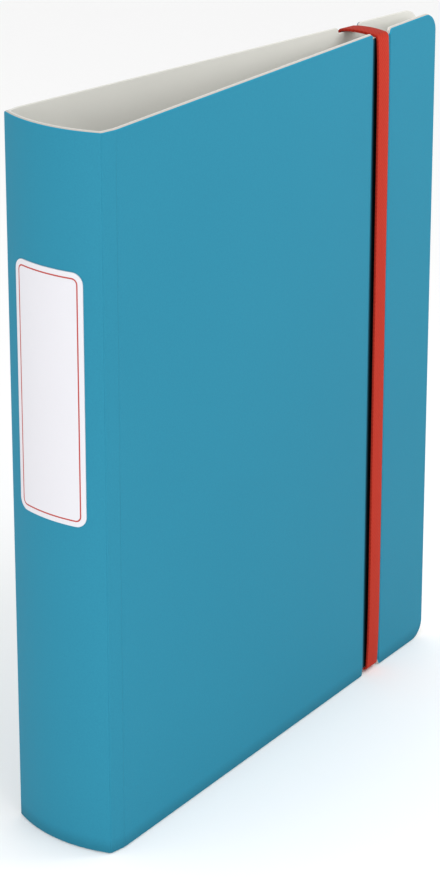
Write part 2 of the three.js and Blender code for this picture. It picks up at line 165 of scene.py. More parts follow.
# the scored lines beside the folds
SCORE_DEPTH = 0.18 * MM
SCORE_HALF = 0.4 * MM


def mix(a, b, share):
    """The value that share of the way from a to b."""
    return a + (b - a) * share


def ease(value, start, end):
    """0 up to start, 1 from end on, and a smooth change between them."""
    t = min(max((value - start) / (end - start), 0.0), 1.0)
    return t * t * (3 - 2 * t)


# ---------------------------------------------------------------- where the boards lie

def on_front(along, up, inward):
    x = CORNER_X - along * math.sin(LEAN) - inward * math.cos(LEAN)
    y = CORNER_Y + along * math.cos(LEAN) - inward * math.sin(LEAN)
    return Vector((x, y, up))


def on_back(along, up, inward):
    place = on_front(along, up, inward)
    return Vector((-place.x, place.y, place.z))


def on_spine(along, up, inward):
    """along is the arc length from the spine's middle line, positive towards the front."""
    angle = along / SPINE_RADIUS
    radius = SPINE_RADIUS - inward
    return Vector((radius * math.sin(angle), SPINE_CENTRE_Y - radius * math.cos(angle), up))


def on_label(along, up, inward):
    return on_spine(along, up, inward - LABEL_PROUD)


# Each fold strip is flat between two scored lines: a sharp turn off the spine's arc at the
# crease, and a slight one where the cover board starts.
CREASE = -1.8 * MM
CREASE_ROUND = 0.7 * MM
CREASE_PLACE = on_spine(CORNER_ARC + CREASE, 0, 0)
STRIP = on_front(FOLD_ON_COVER, 0, 0) - CREASE_PLACE
CREASE_TURN = (CREASE - 2.6 * MM, CREASE + 2.4 * MM)
COVER_TURN = (4.5 * MM, 6.8 * MM)


def fold_outer(along):
    """The fold's outer line in plan. along is 0 at the spine corner, negative on the spine."""
    def on_strip(distance):
        return CREASE_PLACE + STRIP * (distance - CREASE) / (FOLD_ON_COVER - CREASE)

    round_start = CREASE - CREASE_ROUND
    round_end = CREASE + CREASE_ROUND
    if along <= round_start:
        return on_spine(CORNER_ARC + along, 0, 0)
    if along >= round_end:
        return on_strip(along)
    t = (along - round_start) / (round_end - round_start)
    before = mix(on_spine(CORNER_ARC + round_start, 0, 0), CREASE_PLACE, t)
    after = mix(CREASE_PLACE, on_strip(round_end), t)
    return mix(before, after, t)


def on_front_fold(along, up, inward):
    """Inward turns at the crease from the spine's direction to the strip's, then to the cover's."""
    spine_angle = math.pi / 2 + (CORNER_ARC + min(along, 0)) / SPINE_RADIUS
    strip_angle = math.pi / 2 + math.atan2(STRIP.y, STRIP.x)
    cover_angle = math.pi + LEAN
    angle = mix(spine_angle, strip_angle, ease(along, *CREASE_TURN))
    angle = mix(angle, cover_angle, ease(along, *COVER_TURN))
    place = fold_outer(along) + inward * Vector((math.cos(angle), math.sin(angle), 0))
    return Vector((place.x, place.y, up))


def on_back_fold(along, up, inward):
    place = on_front_fold(along, up, inward)
    return Vector((-place.x, place.y, place.z))


def on_mechanism(x, y, z):
    """x crosses the mechanism to the fore edge, y is up from its middle, z leaves the cover."""
    return on_back(MECHANISM_CENTRE + x, HEIGHT / 2 + y, BOARD + z)


# ---------------------------------------------------------------- outlines

def arc(centre, radius, start, end, steps):
    """Points on a circle, angles in degrees, both ends included."""
    points = []
    for step in range(steps + 1):
        angle = math.radians(mix(start, end, step / steps))
        points.append((centre[0] + radius * math.cos(angle), centre[1] + radius * math.sin(angle)))
    return points


def straight(start, end, up, steps):
    """Points on a level line, both ends included."""
    return [(mix(start, end, step / steps), up) for step in range(steps + 1)]


def without_repeats(points):
    """The points as vectors, without those that lie on the one before."""
    kept = [Vector(points[0])]
    for point in points[1:]:
        if (Vector(point) - kept[-1]).length > 1e-6:
            kept.append(Vector(point))
    return kept


def cover_chain():
    """The lower edge of a cover, from the fold to the fore edge; the upper edge mirrors it.

    Its points are closest where the groove's lip, painted shade and wall need them."""
    outer = NOTCH_OUTER_RADIUS
    inner = NOTCH_INNER_RADIUS
    fore = COVER_LENGTH - FORE_CORNER_RADIUS
    lip_approach = 1.2 * MM
    wall_approach = 0.9 * MM
    return without_repeats([
        (FOLD_ON_COVER, 0),
        (FOLD_ON_COVER + SCORE_HALF, 0),
        *straight(NOTCH_START - outer - lip_approach, NOTCH_START - outer, 0, 3),
        *arc((NOTCH_START - outer, outer), outer, -90, 0, 8),
        *arc((NOTCH_START + inner, outer), inner, 180, 90, 5),
        *straight(NOTCH_START + inner, PAINTED_SHADE_END, NOTCH_DEPTH, 6),
        *straight(WALL_START - wall_approach, NOTCH_END - inner, NOTCH_DEPTH, 6),
        *arc((NOTCH_END - inner, outer), inner, 90, 0, 5),
        *arc((NOTCH_END + outer, outer), outer, 180, 270, 8),
        *arc((fore, FORE_CORNER_RADIUS), FORE_CORNER_RADIUS, -90, 0, 16),
    ])


def spine_chain():
    """The spine's lower edge from seam to seam, with closer points beside the seams."""
    seam_side = 1.2 * MM
    return without_repeats([
        *straight(-SEAM_ARC, seam_side - SEAM_ARC, 0, 4),
        *straight(seam_side - SEAM_ARC, SEAM_ARC - seam_side, 0, 64),
        *straight(SEAM_ARC - seam_side, SEAM_ARC, 0, 4),
    ])


def fold_chain():
    """A fold strip's lower edge from seam to seam, with closer points at the crease."""
    return without_repeats([
        *straight(-FOLD_ON_SPINE, CREASE - SCORE_HALF, 0, 6),
        *straight(CREASE - SCORE_HALF, CREASE + SCORE_HALF, 0, 4),
        *straight(CREASE + SCORE_HALF, FOLD_ON_COVER - SCORE_HALF, 0, 22),
        (FOLD_ON_COVER, 0),
    ])


def label_chain():
    """The label's lower edge with its two round corners."""
    side = LABEL_WIDTH / 2
    middle = LABEL_LOW + LABEL_CORNER
    return without_repeats([
        *arc((LABEL_CORNER - side, middle), LABEL_CORNER, 180, 270, 12),
        *straight(LABEL_CORNER - side, side - LABEL_CORNER, LABEL_LOW, 24),
        *arc((side - LABEL_CORNER, middle), LABEL_CORNER, 270, 360, 12),
    ])


# ---------------------------------------------------------------- mesh helpers

SHARP_DEGREES = 35


def inset_loop(loop, distance, fixed):
    """The closed outline moved inwards. Its points on a fixed end line stay on that line."""
    inner = []
    for index, here in enumerate(loop):
        before = loop[index - 1]
        after = loop[(index + 1) % len(loop)]
        came = (here - before).normalized()
        goes = (after - here).normalized()
        side_in = Vector((-came.y, came.x))
        side_out = Vector((-goes.y, goes.x))
        point = here + distance * (side_in + side_out) / (1 + side_in.dot(side_out))
        if any(math.isclose(here.x, line, abs_tol=1e-7) for line in fixed):
            point.x = here.x
        inner.append(point)
    return inner


def new_piece(name, mesh, materials):
    piece = bpy.data.objects.new(name, mesh)
    bpy.context.scene.collection.objects.link(piece)
    for material in materials:
        mesh.materials.append(material)
    return piece


def bridge(build, circles):
    """Faces from each closed circle of vertices to the next, as one list for each gap."""
    gaps = []
    for first, second in zip(circles, circles[1:]):
        faces = []
        for index in range(len(first)):
            following = (index + 1) % len(first)
            corners = (first[index], first[following], second[following], second[index])
            faces.append(build.faces.new(corners))
        gaps.append(faces)
    return gaps


def tube(build, circles):
    """A solid through closed circles of vertices, with a flat face at each end."""
    bridge(build, circles)
    build.faces.new(circles[0])
    build.faces.new(circles[-1])


def headings(line):
    """A line's direction at each point, from the point before it to the point after it."""
    last = len(line) - 1
    found = []
    for index in range(len(line)):
        before = line[max(index - 1, 0)]
        after = line[min(index + 1, last)]
        found.append((after - before).normalized())
    return found


def finish_mesh(build, name, sharp_degrees=SHARP_DEGREES):
    """Turns a bmesh into a mesh with faces pointing out, smooth except over sharp edges."""
    bmesh.ops.recalc_face_normals(build, faces=build.faces)
    for face in build.faces:
        face.smooth = True
    mesh = bpy.data.meshes.new(name)
    build.to_mesh(mesh)
    build.free()
    mesh.set_sharp_from_angle(angle=math.radians(sharp_degrees))
    return mesh


def board_rings():
    """Steps from the outer face to the inner one: (inset, inward, material, share of painted edge
    highlight).

    The cut edge slopes up from the skin to the lining, which stands a little higher. The painted
    highlight on the skin is full from two thirds of the way round its edge."""
    rings = [(EDGE_DROP + SKIN_ROUND + SUPPORT, 0, SKIN, 0)]
    steps = 4
    for step in range(steps + 1):
        angle = math.pi / 2 * step / steps
        inset = EDGE_DROP + SKIN_ROUND * (1 - math.sin(angle))
        inward = SKIN_ROUND * (1 - math.cos(angle))
        rings.append((inset, inward, SKIN, ease(step / steps, 0, 2 / 3)))
    return rings + [
        (EDGE_DROP + CORE_SET_BACK, SKIN_ROUND, CORE, 0),
        (CORE_SET_BACK, LINING_FROM, LINING, 0),
        (0, LINING_FROM, LINING, 0),
        (0, BOARD - LINING_ROUND, LINING, 0),
        (LINING_ROUND, BOARD, LINING, 0),
        (LINING_ROUND + SUPPORT, BOARD, LINING, 0),
    ]


def board_mesh(name, chain, mirror, place, rings, fixed=(), relief=None, painted_shade=None):
    """A closed board from its lower edge, the upper edge being its mirror image.

    mirror is the height of the lower edge plus that of the upper one. relief gives how deep the
    outer face is pressed in, and the last argument how dark its painted shade is, for a distance
    along the board."""
    upper = [Vector((point.x, mirror - point.y)) for point in reversed(chain)]
    loop = chain + upper
    thickness = rings[-1][1]
    build = bmesh.new()
    # a layer for the painted highlight: how much lighter the skin is painted over its rounded edge
    edge_highlight_layer = build.verts.layers.float.new("edge_highlight")
    # a layer for painted shade: how dark the groove is painted, standing in for its shade
    painted_shade_layer = build.verts.layers.float.new("painted_shade")
    circles = []
    for inset, inward, _, edge_highlight in rings:
        circle = []
        for point in inset_loop(loop, inset, fixed):
            pressed = relief(point.x) * (1 - inward / thickness) if relief else 0
            vertex = build.verts.new(place(point.x, point.y, inward + pressed))
            vertex[edge_highlight_layer] = edge_highlight
            vertex[painted_shade_layer] = painted_shade(point.x) if painted_shade else 0
            circle.append(vertex)
        circles.append(circle)
    for (_, _, material, _), faces in zip(rings, bridge(build, circles)):
        for face in faces:
            face.material_index = material
    for circle, ring in ((circles[0], rings[0]), (circles[-1], rings[-1])):
        lower = circle[:len(chain)]
        above = circle[:len(chain) - 1:-1]
        for index in range(len(chain) - 1):
            following = index + 1
            corners = (lower[index], lower[following], above[following], above[index])
            build.faces.new(corners).material_index = ring[2]
    return finish_mesh(build, name)


def cut(piece, outlines, place):
    """Cuts holes through a flat board: each outline is a list of (along, up) points on it."""
    for outline in outlines:
        build = bmesh.new()
        ends = []
        for inward in (-BOARD, 2 * BOARD):
            ends.append([build.verts.new(place(along, up, inward)) for along, up in outline])
        tube(build, ends)
        for face in build.faces:
            face.material_index = CORE
        cutter = new_piece("cutter", finish_mesh(build, "cutter"), piece.data.materials)
        modifier = piece.modifiers.new("cut", "BOOLEAN")
        modifier.operation = "DIFFERENCE"
        modifier.solver = "EXACT"
        modifier.object = cutter
        bpy.context.view_layer.update()
        evaluated = piece.evaluated_get(bpy.context.evaluated_depsgraph_get())
        mesh = bpy.data.meshes.new_from_object(evaluated)
        piece.modifiers.clear()
        piece.data = mesh
        bpy.data.objects.remove(cutter)
    piece.data.set_sharp_from_angle(angle=math.radians(SHARP_DEGREES))


def moved(outline, along, up):
    """The outline carried over to a place on a board."""
    return [(along + x, up + y) for x, y in outline]


def stand_in(piece, body, node):
    """The piece rides on a body and takes the place of a node."""
    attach(piece, body)
    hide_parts(node)


# ---------------------------------------------------------------- materials

class Graph:
    """Builds one material's nodes."""

    def __init__(self, name):
        self.material = bpy.data.materials.new(name)
        self.material.use_nodes = True
        self.tree = self.material.node_tree
        self.tree.nodes.clear()
        output = self.tree.nodes.new("ShaderNodeOutputMaterial")
        self.shader = self.tree.nodes.new("ShaderNodeBsdfPrincipled")
        self.tree.links.new(self.shader.outputs["BSDF"], output.inputs["Surface"])

    def set(self, node, socket, value):
        if isinstance(value, bpy.types.NodeSocket):
            self.tree.links.new(value, node.inputs[socket])
        else:
            node.inputs[socket].default_value = value

    def node(self, kind, inputs, **settings):
        made = self.tree.nodes.new(kind)
        for name, value in settings.items():
            setattr(made, name, value)
        for socket, value in inputs.items():
            self.set(made, socket, value)
        return made

    def position(self, scale=(1, 1, 1)):
        """The place on the piece, in metres, times scale."""
        coordinates = self.node("ShaderNodeTexCoord", {}).outputs["Object"]
        inputs = {"Vector": coordinates, "Scale": scale}
        return self.node("ShaderNodeMapping", inputs).outputs["Vector"]

    def attribute(self, name, output="Fac"):
        return self.node("ShaderNodeAttribute", {}, attribute_name=name).outputs[output]

    def noise(self, vector, size, detail=2.0, roughness=0.5):
        """Noise whose features are about size across."""
        inputs = {"Vector": vector, "Scale": 1 / size, "Detail": detail, "Roughness": roughness}
        return self.node("ShaderNodeTexNoise", inputs).outputs["Fac"]

    def math(self, operation, a, b):
        return self.node("ShaderNodeMath", {0: a, 1: b}, operation=operation).outputs[0]

    def blended(self, a, share_a, b, share_b):
        part_a = self.math("MULTIPLY", a, share_a)
        part_b = self.math("MULTIPLY", b, share_b)
        return self.math("ADD", part_a, part_b)

    def remap(self, value, low, high, to_low, to_high):
        """The value carried from one range over to another."""
        inputs = {"Value": value, "From Min": low, "From Max": high}
        inputs.update({"To Min": to_low, "To Max": to_high})
        return self.node("ShaderNodeMapRange", inputs).outputs["Result"]

    def mix(self, share, a, b, blend="MIX"):
        inputs = {0: share, 6: a, 7: b}
        return self.node("ShaderNodeMix", inputs, data_type="RGBA", blend_type=blend).outputs[2]

    def bump(self, height, distance, strength):
        inputs = {"Height": height, "Distance": distance, "Strength": strength}
        return self.node("ShaderNodeBump", inputs).outputs["Normal"]

    def shade(self, **inputs):
        """Sets the shader's sockets; a name's underscores stand for spaces."""
        for name, value in inputs.items():
            self.set(self.shader, name.replace("_", " "), value)
        return self.material


def colour(red, green, blue):
    return (red, green, blue, 1.0)


# the near-black painted shade on the groove's floor and down its lip
PAINTED_GROOVE_SHADE = colour(0.0012, 0.0012, 0.0020)
# how high the painted shade along the foot reaches
FOOT_SHADE_HEIGHT = 7 * MM


def skin_material():
    """Soft-touch laminate: a fine even grain, a painted highlight over its rounded edges, painted
    shade along the foot where it stands on the floor, and near-black painted shade in the groove."""
    graph = Graph("soft_touch_skin")
    place = graph.position()
    cloud = graph.noise(place, 90 * MM, detail=1.0)
    grain = graph.noise(place, 0.75 * MM, detail=3.0, roughness=0.6)
    tone = graph.mix(cloud, colour(0.0185, 0.179, 0.270), colour(0.0200, 0.189, 0.282))
    grains = graph.remap(grain, 0.3, 0.7, 0, 1)
    speckle = graph.mix(grains, colour(0.93, 0.95, 0.96), colour(1.06, 1.04, 1.03))
    speckled = graph.mix(1.0, tone, speckle, "MULTIPLY")
    # painted shade: darker towards the foot, where the binder meets the floor
    height = graph.node("ShaderNodeSeparateXYZ", {"Vector": place}).outputs["Z"]
    foot_shade = graph.remap(height, 0, FOOT_SHADE_HEIGHT, 0.7, 1.0)
    foot_shaded = graph.mix(1.0, speckled, foot_shade, "MULTIPLY")
    # painted highlight: the skin painted lighter over its rounded edges, where they catch the light
    highlight_share = graph.math("MULTIPLY", graph.attribute("edge_highlight"), 0.8)
    edge = graph.mix(highlight_share, foot_shaded, colour(0.010, 0.270, 0.430))
    # painted shade: the groove's floor and lip mixed towards near black
    groove_shaded = graph.mix(graph.attribute("painted_shade"), edge, PAINTED_GROOVE_SHADE)
    rough = graph.remap(grain, 0.3, 0.7, 0.50, 0.62)
    return graph.shade(
        Base_Color=groove_shaded,
        Roughness=rough,
        Specular_IOR_Level=0.08,
        Normal=graph.bump(grain, 0.02 * MM, 0.6),
    )


def core_material():
    """The cut edge of the board: warm pale fibre, with painted shade where the groove runs out over
    it.
    """
    graph = Graph("board_core")
    place = graph.position((1, 1, 3))
    fibre = graph.noise(place, 0.9 * MM, detail=4.0, roughness=0.7)
    pale = graph.mix(fibre, colour(0.455, 0.430, 0.390), colour(0.530, 0.500, 0.455))
    # painted shade where the groove runs out over the edge
    tone = graph.mix(graph.attribute("painted_shade"), pale, PAINTED_GROOVE_SHADE)
    return graph.shade(
        Base_Color=tone,
        Roughness=0.85,
        Specular_IOR_Level=0.2,
        Normal=graph.bump(fibre, 0.06 * MM, 0.7),
    )


def lining_material():
    """The pale grey lining sheet, matt, with a faint mottle."""
    graph = Graph("lining")
    place = graph.position()
    cloud = graph.noise(place, 25 * MM, detail=3.0)
    grain = graph.noise(place, 0.5 * MM, detail=2.0)
    tone = graph.mix(cloud, colour(0.660, 0.656, 0.614), colour(0.692, 0.688, 0.645))
    tint = graph.mix(grain, colour(0.97, 0.97, 0.97), colour(1.0, 1.0, 1.0))
    return graph.shade(
        Base_Color=graph.mix(1.0, tone, tint, "MULTIPLY"),
        Roughness=graph.remap(grain, 0.3, 0.7, 0.55, 0.68),
        Specular_IOR_Level=0.3,
        Normal=graph.bump(grain, 0.012 * MM, 0.5),
    )


def paper_material():
    """Uncoated white card with a fine fibre."""
    graph = Graph("label_card")
    place = graph.position()
    fibre = graph.noise(place, 0.6 * MM, detail=4.0, roughness=0.65)
    tone = graph.mix(fibre, colour(0.545, 0.540, 0.570), colour(0.575, 0.570, 0.600))
    return graph.shade(
        Base_Color=tone,
        Roughness=graph.remap(fibre, 0.3, 0.7, 0.5, 0.62),
        Specular_IOR_Level=0.3,
        Normal=graph.bump(fibre, 0.01 * MM, 0.5),
    )


def ink_material():
    """The label's printed line."""
    graph = Graph("printed_line")
    place = graph.position()
    fibre = graph.noise(place, 0.4 * MM, detail=3.0)
    tone = graph.mix(fibre, colour(0.32, 0.021, 0.015), colour(0.38, 0.035, 0.026))
    return graph.shade(Base_Color=tone, Roughness=0.55, Normal=graph.bump(fibre, 0.01 * MM, 0.4))


def elastic_material():
    """Woven elastic: diagonal ribs of thread over lengthwise cords."""
    graph = Graph("woven_elastic")
    weave = graph.attribute("weave", "Vector")
    thread = {"Vector": weave, "Scale": 300.0, "Distortion": 1.2}
    thread.update({"Detail": 2.0, "Detail Scale": 3.0})
    twill = graph.node("ShaderNodeTexWave", thread, bands_direction="DIAGONAL").outputs["Fac"]
    cords = {"Vector": weave, "Scale": 210.0, "Distortion": 0.1}
    ribs = graph.node("ShaderNodeTexWave", cords, bands_direction="Y").outputs["Fac"]
    fuzz = graph.noise(weave, 1.1 * MM, detail=3.0, roughness=0.6)
    height = graph.blended(twill, 0.7, ribs, 0.3)
    shade = graph.blended(height, 0.5, fuzz, 0.5)
    light = graph.remap(shade, 0.3, 0.7, 0, 1)
    tone = graph.mix(light, colour(0.34, 0.0170, 0.0085), colour(0.40, 0.0315, 0.0145))
    return graph.shade(
        Base_Color=tone,
        Roughness=graph.remap(shade, 0.2, 0.8, 0.72, 0.88),
        Specular_IOR_Level=0.1,
        Sheen_Weight=0.02,
        Sheen_Roughness=0.5,
        Normal=graph.bump(height, 0.1 * MM, 0.6),
    )


def metal_material(name, dark, light, roughness, marking, bump):
    """Plated or plain metal with fine marks: marking scales the place they are drawn from."""
    graph = Graph(name)
    marks = graph.noise(graph.position(marking), 1.2 * MM, detail=4.0, roughness=0.6)
    cloud = graph.noise(graph.position(), 18 * MM, detail=2.0)
    low, high = roughness
    return graph.shade(
        Base_Color=graph.mix(cloud, dark, light),
        Metallic=1.0,
        Roughness=graph.remap(marks, 0.3, 0.7, low, high),
        Anisotropic=0.25,
        Normal=graph.bump(marks, bump, 0.5),
    )


def floor_material():
    graph = Graph("pale_floor")
    haze = graph.noise(graph.position(), 0.8, detail=2.0)
    tone = graph.mix(haze, colour(0.94, 0.94, 0.94), colour(0.96, 0.96, 0.96))
    return graph.shade(Base_Color=tone, Roughness=0.9, Specular_IOR_Level=0.1)


skin = skin_material()
core = core_material()
lining = lining_material()
BOARD_MATERIALS = [skin, core, lining]
paper = paper_material()
ink = ink_material()
elastic = elastic_material()

NICKEL = (colour(0.56, 0.57, 0.57), colour(0.68, 0.69, 0.68))
STEEL = (colour(0.40, 0.41, 0.42), colour(0.52, 0.53, 0.54))
EVEN_MARKS = (1, 1, 1)
DRAWN_MARKS = (1, 1, 0.05)
nickel = metal_material("ring_nickel", *NICKEL, (0.16, 0.28), EVEN_MARKS, 0.004 * MM)
drawn_nickel = metal_material("drawn_nickel", *NICKEL, (0.22, 0.36), DRAWN_MARKS, 0.006 * MM)
steel = metal_material("blade_steel", *STEEL, (0.32, 0.5), DRAWN_MARKS, 0.008 * MM)


# ---------------------------------------------------------------- boards

def score(along, line):
    """A scored line: a shallow valley in the outer face."""
    return SCORE_DEPTH * max(0.0, 1 - abs(along - line) / SCORE_HALF)


def fold_relief(along):
    return score(along, CREASE) + score(along, FOLD_ON_COVER)


def front_relief(along):
    """The pressed groove between its lip and its wall, and the scored line beside the fold."""
    falls = ease(along, LIP_START, LIP_END)
    rises = ease(along, WALL_START, WALL_END)
    return GROOVE_DEPTH * (falls - rises) + score(along, FOLD_ON_COVER)


def painted_groove_shade(along):
    """How dark the groove is painted as shade: the painted shade deepens down the lip and clears
    just before the wall.
    """
    darkens = ease(along, PAINTED_SHADE_START, PAINTED_SHADE_END)
    clears = ease(along, SHADE_CLEAR_START, SHADE_CLEAR_END)
    return max(darkens - clears, 0)


def back_relief(along):
    return score(along, FOLD_ON_COVER)


def back_cover_holes():
    """Two slots for the band's tails and three bores for the mounting posts."""
    corners = ((-1, -1), (1, -1), (1, 1), (-1, 1))
    slot = [(x * TAIL_SLOT_WIDTH / 2, y * TAIL_SLOT_HEIGHT / 2) for x, y in corners]
    bore = arc((0, 0), POST_BORE, 0, 345, 23)
    holes = [moved(slot, BAND_CENTRE, up) for up in (TAIL_LENGTH, HEIGHT - TAIL_LENGTH)]
    for row in (-1, 0, 1):
        holes.append(moved(bore, MECHANISM_CENTRE, HEIGHT / 2 + row * RING_PITCH))
    return holes


def covers_and_spine():
    rings = board_rings()
    chain = cover_chain()
    fold_line = (FOLD_ON_COVER,)
    name = "front_cover_board"
    mesh = board_mesh(name, chain, HEIGHT, on_front, rings, fold_line, front_relief, painted_groove_shade)
    stand_in(new_piece(name, mesh, BOARD_MATERIALS), "front_cover", "front_cover")

    name = "back_cover_board"
    mesh = board_mesh(name, chain, HEIGHT, on_back, rings, fold_line, back_relief)
    back = new_piece(name, mesh, BOARD_MATERIALS)
    cut(back, back_cover_holes(), on_back)
    stand_in(back, "back_cover", "back_cover")

    name = "spine_board"
    mesh = board_mesh(name, spine_chain(), HEIGHT, on_spine, rings, (-SEAM_ARC, SEAM_ARC))
    stand_in(new_piece(name, mesh, BOARD_MATERIALS), "spine", "spine")


def fold_strips():
    """Each strip bends from the spine to its cover over a few millimetres beside the spine corner.
    """
    rings = board_rings()
    ends = (-FOLD_ON_SPINE, FOLD_ON_COVER)
    for side, place in (("front", on_front_fold), ("back", on_back_fold)):
        name = f"{side}_fold_skin"
        mesh = board_mesh(name, fold_chain(), HEIGHT, place, rings, ends, fold_relief)
        strip = new_piece(name, mesh, BOARD_MATERIALS)
        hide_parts(f"{side}_fold_strip")
        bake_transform(strip)


def spine_label():
    """A card with rounded corners and a thin printed line inside its edge."""
    paper_place, ink_place = range(2)
    line_outside = 2.25 * MM
    line_inside = 2.9 * MM
    line_support = 3.19 * MM
    rounded = 0.18 * MM
    rings = [
        (line_support, 0, paper_place, 0),
        (line_inside, 0, ink_place, 0),
        (line_outside, 0, paper_place, 0),
        (rounded * 3, 0, paper_place, 0),
        (rounded, 0, paper_place, 0),
        (rounded * 0.3, rounded * 0.3, paper_place, 0),
        (0, rounded, paper_place, 0),
        (0, LABEL_PROUD, paper_place, 0),
    ]
    mesh = board_mesh("label_card", label_chain(), LABEL_LOW + LABEL_HIGH, on_label, rings)
    stand_in(new_piece("label_card", mesh, [paper, ink]), "spine", "spine_label")


# ---------------------------------------------------------------- elastic band

BAND_Y = CORNER_Y + BAND_CENTRE * math.cos(LEAN)


def outer_face_x(y):
    """How far the front cover's outer face stands from the middle plane at that y."""
    return CORNER_X - (y - CORNER_Y) * math.tan(LEAN)


def turn_corner(line, corner, arrive, leave):
    """Adds a round turn at a square corner of the band's line."""
    centre = corner - arrive * BAND_BEND + leave * BAND_BEND
    steps = 6
    for step in range(steps + 1):
        angle = math.pi / 2 * step / steps
        line.append(centre + BAND_BEND * (arrive * math.sin(angle) - leave * math.cos(angle)))


def band_line():
    """The band's middle line in x and z, from the top clip round the front to the bottom clip.

    It arches over the top edges. Down the front it stands prouder than at its ends, where the
    notches hold it, and bow_power sets how soon it does."""
    over_steps = 12
    front_steps = 48
    bow_power = 12
    half = BAND_THICKNESS / 2
    face = outer_face_x(BAND_Y)
    front_x = face - GROOVE_DEPTH + BAND_GAP + half
    back_x = -face - BAND_GAP - half
    clip_x = -face + BOARD + CLIP_DEPTH
    top = HEIGHT - NOTCH_DEPTH + BAND_GAP + half
    bottom = NOTCH_DEPTH - BAND_GAP - half
    up, down = Vector((0, 1)), Vector((0, -1))
    front, back = Vector((1, 0)), Vector((-1, 0))
    line = [Vector((clip_x, HEIGHT - TAIL_LENGTH))]
    turn_corner(line, Vector((back_x, HEIGHT - TAIL_LENGTH)), back, up)
    turn_corner(line, Vector((back_x, top)), up, front)
    for step in range(1, over_steps):
        share = step / over_steps
        rise = BAND_RISE * 4 * share * (1 - share)
        line.append(Vector((mix(back_x + BAND_BEND, front_x - BAND_BEND, share), top + rise)))
    turn_corner(line, Vector((front_x, top)), front, down)
    for step in range(1, front_steps):
        share = step / front_steps
        bow = BAND_BOW * (1 - (2 * share - 1) ** bow_power)
        line.append(Vector((front_x + bow, mix(top - BAND_BEND, bottom + BAND_BEND, share))))
    turn_corner(line, Vector((front_x, bottom)), down, back)
    turn_corner(line, Vector((back_x, bottom)), back, up)
    turn_corner(line, Vector((back_x, TAIL_LENGTH)), up, front)
    line.append(Vector((clip_x, TAIL_LENGTH)))
    return without_repeats(line)


def spaced(line, longest):
    """The same line with points added, so that no step is longer than the longest."""
    points = [line[0]]
    for start, end in zip(line, line[1:]):
        steps = math.ceil((end - start).length / longest)
        points.extend(mix(start, end, step / steps) for step in range(1, steps + 1))
    return points


def band_section():
    """A flat strip with small round corners, as (across, outward) points."""
    half_width = BAND_WIDTH / 2
    half_thickness = BAND_THICKNESS / 2
    inside_width = half_width - BAND_CORNER
    inside_thickness = half_thickness - BAND_CORNER
    section = []
    for turn, (x, y) in enumerate(((1, 1), (-1, 1), (-1, -1), (1, -1))):
        centre = (x * inside_width, y * inside_thickness)
        section.extend(arc(centre, BAND_CORNER, 90 * turn, 90 * turn + 90, 3))
    return section


def elastic_band():
    """The band's section carried along its line. Across its width it follows the covers' lean."""
    line = spaced(band_line(), longest=6 * MM)
    section = band_section()
    build = bmesh.new()
    weave_layer = build.verts.layers.float_vector.new("weave")
    travelled = 0.0
    circles = []
    for before, point, ahead in zip([line[0], *line], line, headings(line)):
        outward = Vector((-ahead.y, ahead.x))
        travelled += (point - before).length
        circle = []
        for across, rise in section:
            y = BAND_Y + across
            spot = point + outward * rise
            taper = outer_face_x(y) / outer_face_x(BAND_Y)
            vertex = build.verts.new((spot.x * taper, y, spot.y))
            vertex[weave_layer] = (travelled, across, 0)
            circle.append(vertex)
        circles.append(circle)
    tube(build, circles)
    band = new_piece("woven_band", finish_mesh(build, "woven_band", sharp_degrees=60), [elastic])
    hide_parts("elastic_band")
    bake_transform(band)


# ---------------------------------------------------------------- ring mechanism

# The bends of each half's wire in millimetres: (towards the fore edge, out of the cover).
CURVED_HALF = [
    (-5.6, 3.9), (-5.7, 5.4), (-8.8, 7.8), (-14, 10.6), (-18.2, 16), (-18.8, 22.6),
    (-15.4, 29.6), (-8.6, 34.6), (0, 36.3), (8, 36.3), (10.6, 36.3),
]
STRAIGHT_HALF = [
    (5.6, 3.9), (5.7, 5.4), (8.6, 7.6), (12.8, 8.9), (15.2, 11.6), (15.6, 16),
    (15.6, 23), (15.6, 30), (14.8, 34.4), (12.6, 36.2), (11.2, 36.3),
]
HALVES = {
    "curved": (CURVED_HALF, "spine_side_blade"),
    "straight": (STRAIGHT_HALF, "fore_side_blade"),
}


def rounded_path(points, steps):
    """A smooth curve through the points (Catmull-Rom)."""
    points = [Vector(point) for point in points]
    ends = [2 * points[0] - points[1], *points, 2 * points[-1] - points[-2]]
    path = []
    for index in range(1, len(ends) - 2):
        a, b, c, d = ends[index - 1:index + 3]
        for step in range(steps):
            t = step / steps
            curve = (2 * a - 5 * b + 4 * c - d) * t * t + (3 * b - a - 3 * c + d) * t ** 3
            path.append(0.5 * (2 * b + (c - a) * t + curve))
    return [*path, points[-1]]


TIP_LENGTH = 0.35 * WIRE_RADIUS
TIP_RADIUS = 0.62 * WIRE_RADIUS


def half_ring(name, node, points, level, body):
    """A bent wire, in the mechanism's x and z, whose tip rounds off from full to tip radius."""
    path = [point * MM for point in rounded_path(points, steps=6)]
    ahead = (path[-1] - path[-2]).normalized()
    tip = path[-1]
    path[-1] = tip - ahead * TIP_LENGTH
    radii = [WIRE_RADIUS] * len(path)
    for share in (0.35, 0.65, 0.88, 0.98):
        angle = share * math.pi / 2
        path.append(tip - ahead * TIP_LENGTH * (1 - math.sin(angle)))
        radii.append(mix(TIP_RADIUS, WIRE_RADIUS, math.cos(angle)))
    sides = 20
    build = bmesh.new()
    circles = []
    for point, radius, ahead in zip(path, radii, headings(path)):
        aside = Vector((-ahead.y, ahead.x))
        circle = []
        for side in range(sides):
            angle = 2 * math.pi * side / sides
            spot = point + aside * radius * math.cos(angle)
            up = level + radius * math.sin(angle)
            circle.append(build.verts.new(on_mechanism(spot.x, up, spot.y)))
        circles.append(circle)
    tube(build, circles)
    ring = new_piece(name, finish_mesh(build, name, sharp_degrees=50), [nickel])
    stand_in(ring, body, node)


